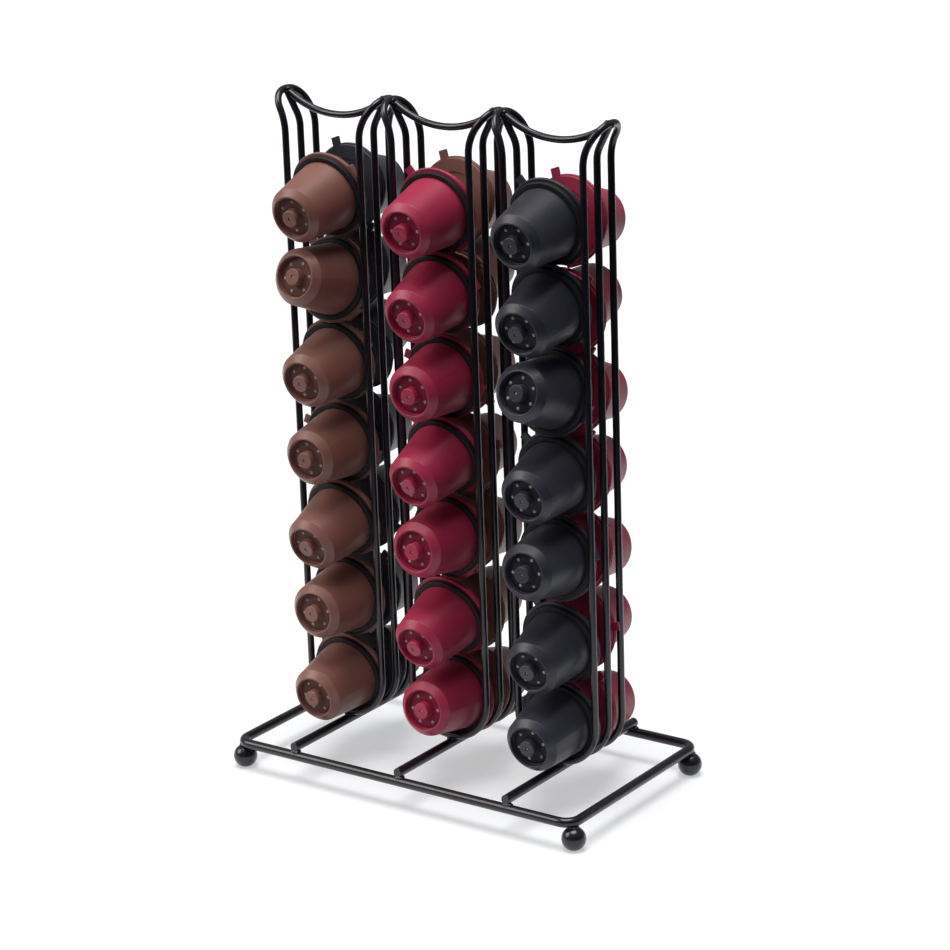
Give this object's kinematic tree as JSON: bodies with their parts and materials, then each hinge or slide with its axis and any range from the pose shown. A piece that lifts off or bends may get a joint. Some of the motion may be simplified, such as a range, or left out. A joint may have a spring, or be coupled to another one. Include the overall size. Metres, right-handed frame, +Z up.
{
  "type": "coffee capsule holder",
  "caption": "Free-standing double-sided wire rack that holds small flanged coffee capsules in upright guide-wire channels open at the top, on a ring base with ball feet.",
  "frame": {"origin": "on the floor, under the middle of the base ring", "axes": "+Z up, +X along the row of columns, -Y towards the front channels"},
  "size_m": [0.1816, 0.1006, 0.2931],
  "materials": {
    "coated_wire": "satin black coat",
    "capsule_brown": "satin",
    "capsule_red": "satin",
    "capsule_black": "satin",
    "seal": "matt"
  },
  "bodies": {
    "rack": {"base_ring": "coated_wire", "left_front_foot": "coated_wire", "left_back_foot": "coated_wire", "right_front_foot": "coated_wire", "right_back_foot": "coated_wire", "left_cross_bar": "coated_wire", "left_front_guide": "coated_wire", "left_middle_guide": "coated_wire", "left_back_guide": "coated_wire", "left_top_arch": "coated_wire", "middle_cross_bar": "coated_wire", "middle_front_guide": "coated_wire", "middle_middle_guide": "coated_wire", "middle_back_guide": "coated_wire", "middle_top_arch": "coated_wire", "right_cross_bar": "coated_wire", "right_front_guide": "coated_wire", "right_middle_guide": "coated_wire", "right_back_guide": "coated_wire", "right_top_arch": "coated_wire"},
    "left_front_stack": {"left_front_stack_cups": "capsule_brown", "left_front_stack_seals": "seal", "left_front_stack_lids": "capsule_brown"},
    "left_front_top": {"left_front_top_cup": "capsule_brown", "left_front_top_seal": "seal", "left_front_top_lid": "capsule_brown"},
    "middle_front_stack": {"middle_front_stack_cups": "capsule_red", "middle_front_stack_seals": "seal", "middle_front_stack_lids": "capsule_red"},
    "middle_front_top": {"middle_front_top_cup": "capsule_red", "middle_front_top_seal": "seal", "middle_front_top_lid": "capsule_red"},
    "right_front_stack": {"right_front_stack_cups": "capsule_black", "right_front_stack_seals": "seal", "right_front_stack_lids": "capsule_black"},
    "right_front_top": {"right_front_top_cup": "capsule_black", "right_front_top_seal": "seal", "right_front_top_lid": "capsule_black"},
    "left_back_stack": {"left_back_stack_cups": "capsule_black", "left_back_stack_seals": "seal", "left_back_stack_lids": "capsule_black"},
    "left_back_top": {"left_back_top_cup": "capsule_black", "left_back_top_seal": "seal", "left_back_top_lid": "capsule_black"},
    "middle_back_stack": {"middle_back_stack_cups": "capsule_brown", "middle_back_stack_seals": "seal", "middle_back_stack_lids": "capsule_brown"},
    "middle_back_top": {"middle_back_top_cup": "capsule_brown", "middle_back_top_seal": "seal", "middle_back_top_lid": "capsule_brown"},
    "right_back_stack": {"right_back_stack_cups": "capsule_red", "right_back_stack_seals": "seal", "right_back_stack_lids": "capsule_red"},
    "right_back_top": {"right_back_top_cup": "capsule_red", "right_back_top_seal": "seal", "right_back_top_lid": "capsule_red"}
  },
  "joints": [
    {"name": "left_front_stack_slide", "type": "slide", "parent": "rack", "child": "left_front_stack", "axis": [0, 0, 1], "range_m": [0, 0.037]},
    {"name": "left_front_top_lift", "type": "slide", "parent": "left_front_stack", "child": "left_front_top", "axis": [0, 0, 1], "range_m": [0, 0.064]},
    {"name": "middle_front_stack_slide", "type": "slide", "parent": "rack", "child": "middle_front_stack", "axis": [0, 0, 1], "range_m": [0, 0.037]},
    {"name": "middle_front_top_lift", "type": "slide", "parent": "middle_front_stack", "child": "middle_front_top", "axis": [0, 0, 1], "range_m": [0, 0.064]},
    {"name": "right_front_stack_slide", "type": "slide", "parent": "rack", "child": "right_front_stack", "axis": [0, 0, 1], "range_m": [0, 0.037]},
    {"name": "right_front_top_lift", "type": "slide", "parent": "right_front_stack", "child": "right_front_top", "axis": [0, 0, 1], "range_m": [0, 0.064]},
    {"name": "left_back_stack_slide", "type": "slide", "parent": "rack", "child": "left_back_stack", "axis": [0, 0, 1], "range_m": [0, 0.037]},
    {"name": "left_back_top_lift", "type": "slide", "parent": "left_back_stack", "child": "left_back_top", "axis": [0, 0, 1], "range_m": [0, 0.064]},
    {"name": "middle_back_stack_slide", "type": "slide", "parent": "rack", "child": "middle_back_stack", "axis": [0, 0, 1], "range_m": [0, 0.037]},
    {"name": "middle_back_top_lift", "type": "slide", "parent": "middle_back_stack", "child": "middle_back_top", "axis": [0, 0, 1], "range_m": [0, 0.064]},
    {"name": "right_back_stack_slide", "type": "slide", "parent": "rack", "child": "right_back_stack", "axis": [0, 0, 1], "range_m": [0, 0.037]},
    {"name": "right_back_top_lift", "type": "slide", "parent": "right_back_stack", "child": "right_back_top", "axis": [0, 0, 1], "range_m": [0, 0.064]}
  ]
}
